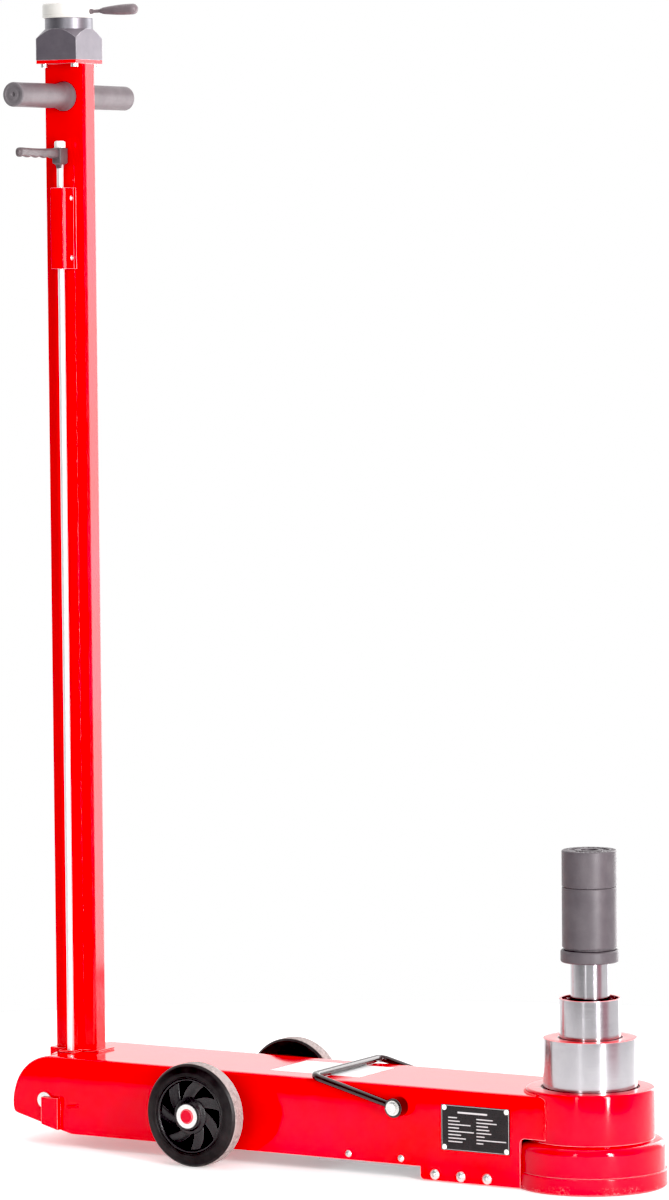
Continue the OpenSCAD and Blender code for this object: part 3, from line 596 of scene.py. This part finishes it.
def lock_cutter(tilt):
    """A rod that cuts the lock hole for one tilt of the post, in degrees."""
    a = math.radians(tilt)
    spot = Vector((ROD_FORWARD * math.cos(a) - HOLE_START * math.sin(a), 0,
                   ROD_FORWARD * math.sin(a) + HOLE_START * math.cos(a)))
    start = PIVOT + spot + Vector((0, ROD_SIDE, 0))
    turn = Vector((-math.sin(a), 0, math.cos(a))).to_track_quat("Z", "Y")
    verts, faces = lathe([(0, 0), (LOCK_R, 0), (LOCK_R, CUTTER_LENGTH), (0, CUTTER_LENGTH)], 32)
    mesh = bpy.data.meshes.new("cutter")
    mesh.from_pydata([tuple((turn @ Vector(v) + start) * MM) for v in verts], [], faces)
    clean(mesh)
    cutter = bpy.data.objects.new("cutter", mesh)
    bpy.context.scene.collection.objects.link(cutter)
    return cutter


shell = chassis_shell()
cut(shell, [lock_cutter(tilt) for tilt in LOCK_TILTS])
shell.data.shade_smooth()
shell.data.set_sharp_from_angle(angle=math.radians(32.0))

# Weld beads at the cylinder and at the pivot's keepers, and a short one on each side
WELD_R = 84.6
front = [(-WELD_R * math.cos(math.radians(a)), -WELD_R * math.sin(math.radians(a)), 121.6)
         for a in range(64, -65, -2)]
weld("weld_cylinder_top", front, 2.4)
for side, name in ((-1, "near"), (1, "far")):
    weld("weld_cylinder_" + name, [(-23.6, side * 80.4, 68.0), (-23.6, side * 80.4, 116.5)], 1.9)
    weld("weld_keeper_" + name, [(-774.2, side * 81.2, 28.0), (-774.2, side * 81.2, 62.0)], 1.6)
    weld("weld_plug_" + name, [(-763.0, side * 80.9, 55.5), (-746.0, side * 80.9, 57.5)], 2.2)


# ---------------------------------------------------------------- wheels

AXLE_X, AXLE_Z, WHEEL_IN = -527.5, 69.5, 113.4
SPOKES = 7


def wheel_place(side):
    """Takes a wheel's own x, y and depth to the row frame; side is -1 near, 1 far."""
    return lambda x, y, z: (AXLE_X + x, side * (WHEEL_IN + z), AXLE_Z + y)


def spoke(index, place):
    """One swept blade between the hub and the rim, with a raised leading edge."""
    verts = []
    steps = 14
    across = [0.0, 0.035, 0.09, 0.16, 0.3, 0.5, 0.7, 0.84, 0.92, 0.97, 1.0]
    drop = [1.6, 0.5, 0.0, 0.35, 0.9, 1.2, 1.2, 1.3, 1.5, 2.0, 3.0]
    turn = 360.0 * index / SPOKES
    for i in range(steps + 1):
        t = i / steps
        r = 21.0 + 25.3 * t
        s = min(max((r - 25.0) / 21.0, 0.0), 1.0)
        left = 121.5 - 36.0 * s ** 0.85 + turn
        right = 75.0 - 14.0 * s + turn
        top = 28.6 - 1.6 * t + 0.8 * t * t
        for u, d in zip(across, drop):
            a = math.radians(left + (right - left) * u)
            verts.append(place(r * math.cos(a), r * math.sin(a), top - d))
        for u in reversed(across):
            a = math.radians(left + (right - left) * u)
            verts.append(place(r * math.cos(a), r * math.sin(a), 13.0))
    return verts, skin(steps + 1, 2 * len(across))


def joined(parts):
    """Several (verts, faces) pairs as one."""
    verts, faces = [], []
    for v, f in parts:
        base = len(verts)
        verts += v
        faces += [tuple(i + base for i in face) for face in f]
    return verts, faces


def wheel(side, name, body):
    """A moulded centre with its spokes, and a tyre whose rolling band has its own material."""
    place = wheel_place(side)
    hub = rounded([(50.0, 0.6, 1.0), (50.0, 30.1, 1.0), (47.4, 30.1, 1.0), (45.8, 27.4, 1.2),
                   (45.6, 9.0, 1.0), (25.4, 9.0, 1.0), (25.0, 28.3, 1.8), (20.4, 30.4, 1.6),
                   (18.5, 33.9, 0.9), (10.1, 33.9, 0.3), (10.1, 0.6, 0.5), (17.0, 0.6, 1.0),
                   (17.5, 6.0, 1.5), (46.2, 6.0, 1.5), (46.8, 0.6, 1.0)], 4)
    parts = [lathe(hub, 112, place)] + [spoke(i, place) for i in range(SPOKES)]
    verts, faces = joined(parts)
    make("wheel_centre_" + name, verts, faces, body, "wheel_plastic", ("wheel_hub_" + name,),
         angle=36.0)
    tyre = rounded([(50.1, 0.4, 0.4), (54.0, 0.2, 1.0), (65.5, 0.9, 3.0), (69.5, 5.2, 3.4),
                    (69.5, 23.4, 3.4), (66.0, 28.0, 3.0), (57.5, 30.3, 6.0), (53.0, 30.5, 0.6),
                    (52.6, 29.9, 0.3), (51.8, 29.9, 0.3), (51.4, 30.4, 0.4), (50.1, 30.2, 0.3)], 5)
    around = 160
    verts, faces = lathe(tyre, around, place)
    count = len(tyre)
    tread = [1 if min(tyre[k][0], tyre[(k + 1) % count][0]) > 68.6 else 0 for k in range(count)]
    make("tyre_" + name + "_moulded", verts, faces, body, "tyre_rubber", ("tyre_" + name,),
         [slot_mat("tyre_rubber"), TREAD], tread * around, 50.0)


wheel(-1, "near", "wheel_near")
wheel(1, "far", "wheel_far")


# ---------------------------------------------------------------- grips

POST_X, BAR_Z = -793.0, 1428.0


def grip(side, name):
    """A rubber sleeve, with a flared root and a dimple in its end."""
    def place(x, y, z):
        return (POST_X + x, side * z, BAR_Z + y)

    profile = rounded([(12.6, 14.1, 0.2), (20.3, 14.1, 0.5), (20.4, 16.2, 0.8), (18.2, 22.0, 8.0),
                       (16.7, 33.0, 8.0), (16.5, 118.0, 20.0), (16.6, 137.9, 3.6),
                       (12.0, 137.9, 0.5), (11.4, 137.2, 0.4), (7.6, 137.2, 0.3),
                       (7.2, 137.6, 0.3), (3.4, 137.6, 0.4), (2.2, 135.6, 0.8), (0.0, 135.4, 0.0),
                       (0.0, 133.5, 0.0), (12.6, 133.5, 0.2)], 6)
    count = len(profile)
    # The end face takes the lighter rubber, which is painted light.
    end = [1 if min(profile[k][1], profile[(k + 1) % count][1]) > 134.4 else 0
           for k in range(count)]
    around = 96
    verts, faces = lathe(profile, around, place)
    make("grip_" + name + "_moulded", verts, faces, "post", "grip_rubber", ("grip_" + name,),
         [slot_mat("grip_rubber"), GRIP_END], end * around, 45.0)


grip(-1, "near")
grip(1, "far")


# ---------------------------------------------------------------- squeeze lever

ROD_X, ROD_Y = -791.5, -28.0
LEVER_LENGTH, TIP_R = 104.0, 7.4
LEVER_LOW, LEVER_HIGH, LEVER_HALF_W = 1343.2, 1357.6, 4.6
FINGERS = (0.20, 0.96)      # the finger waves, as shares of the arm's length
FINGER_PITCH, FINGER_DEPTH = 0.19, 1.7
SQUARENESS = 0.7            # 1 gives an oval section, and less gives a squarer one
BLOCK_HALF = (7.0, 9.8)
# The block on the rod: height, and its size there next to its full size
BLOCK_LEVELS = ((1330.1, 0.52), (1330.6, 0.56), (1334.0, 0.57), (1335.2, 0.62), (1336.6, 0.93),
                (1337.8, 0.985), (1339.4, 1.0), (1356.4, 1.0), (1357.4, 0.98), (1357.9, 0.93))


def lever():
    """An arm with finger waves on its lower side, and the block that holds it to the rod."""
    steps = 84
    sides = 28
    start, tip = ROD_Y + 4.0, ROD_Y - LEVER_LENGTH
    arm = []
    for i in range(steps + 1):
        s = i / steps
        y = start + (tip - start) * s
        reach = (ROD_Y - y) / LEVER_LENGTH
        wave = 0.5 - 0.5 * math.cos(2 * math.pi * (reach - FINGERS[0]) / FINGER_PITCH)
        inside = 1.0 if FINGERS[0] < reach < FINGERS[1] else 0.0
        low = LEVER_LOW + FINGER_DEPTH * wave * inside + 1.2 * reach
        high = LEVER_HIGH - 1.0 * math.sin(math.pi * min(max((reach - 0.1) / 0.8, 0), 1))
        wide = LEVER_HALF_W + 0.5 * math.cos(6.28 * reach)
        left = abs(y - tip)
        close = 1.0
        if left < TIP_R:
            close = math.sqrt(max(1 - ((TIP_R - left) / TIP_R) ** 2, 0.0))
        mid = (low + high) / 2
        for k in range(sides):
            a = 2 * math.pi * k / sides
            c, d = math.cos(a), math.sin(a)
            x = math.copysign(abs(c) ** SQUARENESS, c) * wide * max(close, 0.02)
            z = math.copysign(abs(d) ** SQUARENESS, d) * (high - low) / 2 * max(close, 0.02)
            arm.append((ROD_X + x, y, mid + z))
    block = []
    for z, size in BLOCK_LEVELS:
        half_x, half_y = (v * size for v in BLOCK_HALF)
        loop = rounded([(-half_x, -half_y, 1.6), (half_x, -half_y, 1.6), (half_x, half_y, 1.6),
                        (-half_x, half_y, 1.6)], 5)
        block += [(ROD_X + x, ROD_Y + y, z) for x, y in loop]
    verts, faces = joined([(arm, skin(steps + 1, sides, flip=True)),
                           (block, skin(len(BLOCK_LEVELS), len(loop), flip=True))])
    make("lever_moulded", verts, faces, "release_rod", "lever_plastic", ("squeeze_lever",),
         angle=50.0)


lever()


# ---------------------------------------------------------------- ram tops, seals and saddle

def ring(name, profile, body, slot, own=None, replaces=()):
    """A piece turned about the lift axis."""
    verts, faces = lathe(rounded(profile, 4))
    make(name, verts, faces, body, slot, replaces, own=own)


ring("seal_ram_1", [(61.75, 122.0, 0.2), (64.3, 122.0, 0.2), (64.3, 126.6, 0.7),
                    (62.6, 126.9, 0.6), (61.75, 125.0, 0.2)], "chassis", "red_paint", DARK_SEAL)
ring("top_ram_1", [(42.7, 192.0, 0.0), (61.3, 192.0, 0.0), (61.3, 192.35, 0.3),
                   (42.7, 192.35, 0.3)], "piston_1", "red_paint")
ring("seal_ram_2", [(40.45, 187.6, 0.2), (42.4, 187.6, 0.2), (42.4, 191.2, 0.5),
                    (40.45, 191.2, 0.5)], "piston_1", "red_paint", DARK_SEAL)
ring("top_ram_2", [(37.3, 243.35, 0.0), (40.1, 243.35, 0.0), (40.1, 243.8, 0.3),
                   (37.3, 243.8, 0.3)], "piston_2", "red_paint")
ring("seal_ram_3", [(25.6, 234.4, 0.2), (28.6, 234.4, 0.4), (28.0, 236.8, 0.6),
                    (25.6, 236.8, 0.3)], "piston_2", "red_paint", DARK_SEAL)


def serrated_top():
    """The upper extension, with a ring of small teeth near its rim and a groove inside them."""
    low, high = 389.3, 437.0
    outline = rounded([(12.05, high, 0.5), (12.05, low, 0.0), (34.9, low, 0.0),
                       (35.9, low + 1.0, 0.6), (35.9, high - 1.1, 0.9), (34.6, high, 0.5)], 4)
    top = [34.2, 33.6, 33.0, 32.0, 31.0, 30.0, 29.4, 28.8, 27.4]
    teeth, per_tooth = 30, 12
    tooth_in, tooth_out, tooth_depth = 29.2, 33.4, 1.4
    inner = rounded([(27.0, high, 0.3), (26.4, high - 1.5, 0.3), (18.6, high - 1.5, 0.3),
                     (18.0, high, 0.4)], 3)
    loop = outline + [(r, high) for r in top] + inner
    n = teeth * per_tooth
    verts = []
    for i in range(n):
        a = 2 * math.pi * i / n
        tooth = max(0.0, math.cos(2 * math.pi * (i % per_tooth) / per_tooth)) ** 2
        for r, z in loop:
            if z > high - 0.01 and tooth_in < r < tooth_out:
                z = high - tooth_depth * tooth
            verts.append((r * math.cos(a), r * math.sin(a), z))
    make("saddle_top", verts, skin(n, len(loop), closed=True), "upper_extension", "dark_steel",
         ("extension_upper",), angle=30.0)


serrated_top()
ring("extension_sleeve", [(12.05, 389.0, 0.4), (12.05, 307.5, 0.0), (33.4, 307.5, 0.4),
                          (33.4, 309.6, 0.4), (35.7, 310.4, 0.6), (35.9, 312.0, 0.4),
                          (35.9, 387.8, 0.8), (35.0, 389.0, 0.4)],
     "lower_extension", "dark_steel", replaces=("extension_lower",))
ring("saddle_collar", [(25.4, 291.0, 0.0), (36.6, 291.0, 1.2), (38.0, 292.6, 1.0),
                       (38.0, 305.2, 1.0), (36.6, 307.0, 1.0), (12.05, 307.0, 0.4),
                       (12.05, 299.0, 0.0), (25.4, 299.0, 0.0)],
     "piston_3", "dark_steel", replaces=("saddle_flange",))


# ---------------------------------------------------------------- valve cap

CAP_Z = 1533.8
cap = rounded([(0.0, 0.0, 0.0), (34.6, 0.0, 0.6), (36.0, 1.4, 0.8), (36.0, 3.6, 0.2),
               (35.6, 3.9, 0.2), (35.6, 4.4, 0.2), (36.0, 4.7, 0.2), (36.0, 16.8, 0.5),
               (35.5, 17.2, 0.3), (35.5, 18.4, 1.0), (34.0, 19.7, 0.8), (22.0, 19.7, 0.5),
               (21.4, 19.2, 0.4), (0.0, 19.2, 0.0)], 4)
verts, faces = lathe(cap, place=lambda x, y, z: (POST_X + x, y, CAP_Z + z))
make("cap_moulded", verts, faces, "valve_handle", "cap_plastic", ("valve_cap",))


# ---------------------------------------------------------------- nameplate print

def bars():
    """Plain bars where the plate's print is, and a narrow border; no lettering."""
    x0, face_y, z0 = -126.4, -82.02, 73.0

    def place(cx, cz):
        return lambda x, y, z: (x0 + cx + x, face_y - z, z0 + cz + y)

    def bar(cx, cz, length, tall):
        loop = rounded([(-length / 2, -tall / 2, 0.2), (length / 2, -tall / 2, 0.2),
                        (length / 2, tall / 2, 0.2), (-length / 2, tall / 2, 0.2)], 2)
        return prism(loop, 0.12, place(cx, cz))

    parts = [bar(-4.0, 20.5, 44.0, 2.3)]
    left = [13.0, 17.0, 33.0, 16.0, 38.0, 19.0, 26.0, 21.0]
    right = [24.0, 30.0, 17.0, 19.0, 22.0, 12.0, 44.0, 10.0]
    for i, (a, b) in enumerate(zip(left, right)):
        z = 13.4 - 4.5 * i
        parts.append(bar(-40.0 + a / 2, z, a, 1.4))
        parts.append(bar(2.0 + b / 2, z, b, 1.4))
    for s in (-1, 1):
        parts.append(bar(0.0, s * 28.9, 99.4, 0.45))
        parts.append(bar(s * 49.6, 0.0, 0.45, 57.6))
    verts, faces = joined(parts)
    make("nameplate_bars", verts, faces, "chassis", "label_film", own=BAR_INK, angle=30.0)


bars()


# ---------------------------------------------------------------- stage, light and camera

def floor_material():
    """Matt white, with a little light of its own, so that shadows on it stay pale."""
    n = surface("studio floor", (0.90, 0.90, 0.90), (0.88, 0.88, 0.885), 1.5, 0.5, 0.75, 0.05, 60.0,
                0.02, 0.2)
    n.constants(Emission_Color=(1.0, 1.0, 1.0, 1.0), Emission_Strength=0.3)
    return n.mat


# The floor is a disc that lies a little below the object
FLOOR_R, FLOOR_X, FLOOR_Z, FLOOR_SIDES = 1.5, -0.4, -0.0003, 120
turns = [math.radians(360 * i / FLOOR_SIDES) for i in range(FLOOR_SIDES)]
floor_mesh = bpy.data.meshes.new("floor")
floor_mesh.from_pydata([(FLOOR_X + FLOOR_R * math.cos(a), FLOOR_R * math.sin(a), FLOOR_Z)
                        for a in turns], [], [tuple(range(FLOOR_SIDES))])
floor_mesh.materials.append(floor_material())
floor = bpy.data.objects.new("floor", floor_mesh)
bpy.context.scene.collection.objects.link(floor)

AZ, PITCH, ROLL = (math.radians(v) for v in (30.738, 3.716, -0.5097))
FWD = Vector((-math.sin(AZ) * math.cos(PITCH), math.cos(AZ) * math.cos(PITCH), -math.sin(PITCH)))
RIGHT = Vector((math.cos(AZ), math.sin(AZ), 0))
UP = RIGHT.cross(FWD)


# The studio's walls: degrees round from the camera, towards the right, then their colour
WALLS = ((-180, 0.88, 0.88, 0.88), (-128, 0.74, 0.74, 0.74), (-108, 0.60, 0.60, 0.60),
         (-92, 0.30, 0.30, 0.30), (-60, 0.16, 0.16, 0.16), (-38, 0.28, 0.28, 0.28),
         (-10, 0.42, 0.42, 0.42), (14, 0.44, 0.44, 0.44), (38, 0.42, 0.38, 0.39),
         (50, 0.40, 0.20, 0.24), (64, 0.46, 0.27, 0.30), (76, 0.68, 0.66, 0.67),
         (120, 0.75, 0.75, 0.75), (145, 0.86, 0.86, 0.86), (180, 0.88, 0.88, 0.88))
WALL_LIGHT = 1.7


def world():
    """White where the camera sees it, but the object is lit by the walls' own colours."""
    w = bpy.data.worlds.new("studio")
    bpy.context.scene.world = w
    w.use_nodes = True
    t = w.node_tree
    t.nodes.clear()
    out = t.nodes.new("ShaderNodeOutputWorld")
    seen = t.nodes.new("ShaderNodeBackground")
    seen.inputs["Color"].default_value = (1.0, 1.0, 1.0, 1)
    lit = t.nodes.new("ShaderNodeBackground")
    lit.inputs["Strength"].default_value = WALL_LIGHT
    mix = t.nodes.new("ShaderNodeMixShader")
    path = t.nodes.new("ShaderNodeLightPath")
    coords = t.nodes.new("ShaderNodeTexCoord")
    turn = t.nodes.new("ShaderNodeMath")
    turn.operation = "ARCTAN2"
    for axis, socket in ((RIGHT, 0), ((-FWD.x, -FWD.y, 0.0), 1)):
        dot = t.nodes.new("ShaderNodeVectorMath")
        dot.operation = "DOT_PRODUCT"
        dot.inputs[1].default_value = axis
        t.links.new(coords.outputs["Generated"], dot.inputs[0])
        t.links.new(dot.outputs["Value"], turn.inputs[socket])
    share = t.nodes.new("ShaderNodeMapRange")
    share.inputs["From Min"].default_value = -math.pi
    share.inputs["From Max"].default_value = math.pi
    ramp = t.nodes.new("ShaderNodeValToRGB")
    stops = ramp.color_ramp.elements
    for i, (angle, *rgb) in enumerate(WALLS):
        place = (angle + 180) / 360
        stop = stops[i] if i < 2 else stops.new(place)
        stop.position = place
        stop.color = (*rgb, 1.0)
    t.links.new(turn.outputs[0], share.inputs["Value"])
    t.links.new(share.outputs["Result"], ramp.inputs["Fac"])
    t.links.new(ramp.outputs["Color"], lit.inputs["Color"])
    t.links.new(path.outputs["Is Camera Ray"], mix.inputs[0])
    t.links.new(lit.outputs[0], mix.inputs[1])
    t.links.new(seen.outputs[0], mix.inputs[2])
    t.links.new(mix.outputs[0], out.inputs["Surface"])


world()


def panel(name, where, look, size, radiance):
    """A rectangular white light; radiance is its brightness, whatever its size."""
    data = bpy.data.lights.new(name, "AREA")
    data.shape = "RECTANGLE"
    data.size, data.size_y = size
    data.energy = radiance * math.pi * size[0] * size[1]
    obj = bpy.data.objects.new(name, data)
    obj.location = where
    obj.rotation_mode = "QUATERNION"
    obj.rotation_quaternion = (Vector(look) - Vector(where)).to_track_quat("-Z", "Y")
    obj.visible_camera = False
    bpy.context.scene.collection.objects.link(obj)


panel("back_right", (0.03, 1.37, 0.90), (-0.79, 0.0, 0.90), (0.72, 1.75), 4.2)
panel("key_right", (3.26, -1.96, 1.14), (0.0, 0.0, 1.14), (0.5, 2.52), 34.0)
panel("strip_left", (0.23, -3.59, 1.14), (0.0, 0.0, 1.14), (0.32, 2.52), 7.0)
panel("overhead", (-0.4, -0.6, 3.4), (-0.4, 0.0, 0.0), (2.6, 2.6), 1.0)
panel("glint_low", (3.26, -1.96, -0.17), (0.0, 0.0, 0.09), (0.26, 0.07), 70.0)
panel("glint_high", (2.9, -1.75, 2.1), (0.0, 0.0, 0.1), (0.5, 0.3), 70.0)

FOCAL_PX, TALL_PX, SENSOR_MM = 5312.25, 1200.0, 36.0
CAMERA_AT = (3.22235, -6.05927, 1.20962)
BLACK = 0.04    # the black level of the colour management

camera_data = bpy.data.cameras.new("photo_view")
camera_data.sensor_fit = "AUTO"
camera_data.sensor_width = SENSOR_MM
camera_data.lens = FOCAL_PX * SENSOR_MM / TALL_PX
camera_data.clip_start, camera_data.clip_end = 0.1, 100.0
camera = bpy.data.objects.new("photo_view", camera_data)
side = RIGHT * math.cos(ROLL) + UP * math.sin(ROLL)
top = UP * math.cos(ROLL) - RIGHT * math.sin(ROLL)
pose = Matrix((side, top, -FWD)).transposed().to_4x4()
pose.translation = CAMERA_AT
camera.matrix_world = pose
bpy.context.scene.collection.objects.link(camera)
bpy.context.scene.camera = camera
view = bpy.context.scene.view_settings
view.view_transform = "Standard"
view.look = "None"
view.use_curve_mapping = True
view.curve_mapping.black_level = (BLACK, BLACK, BLACK)
view.curve_mapping.update()
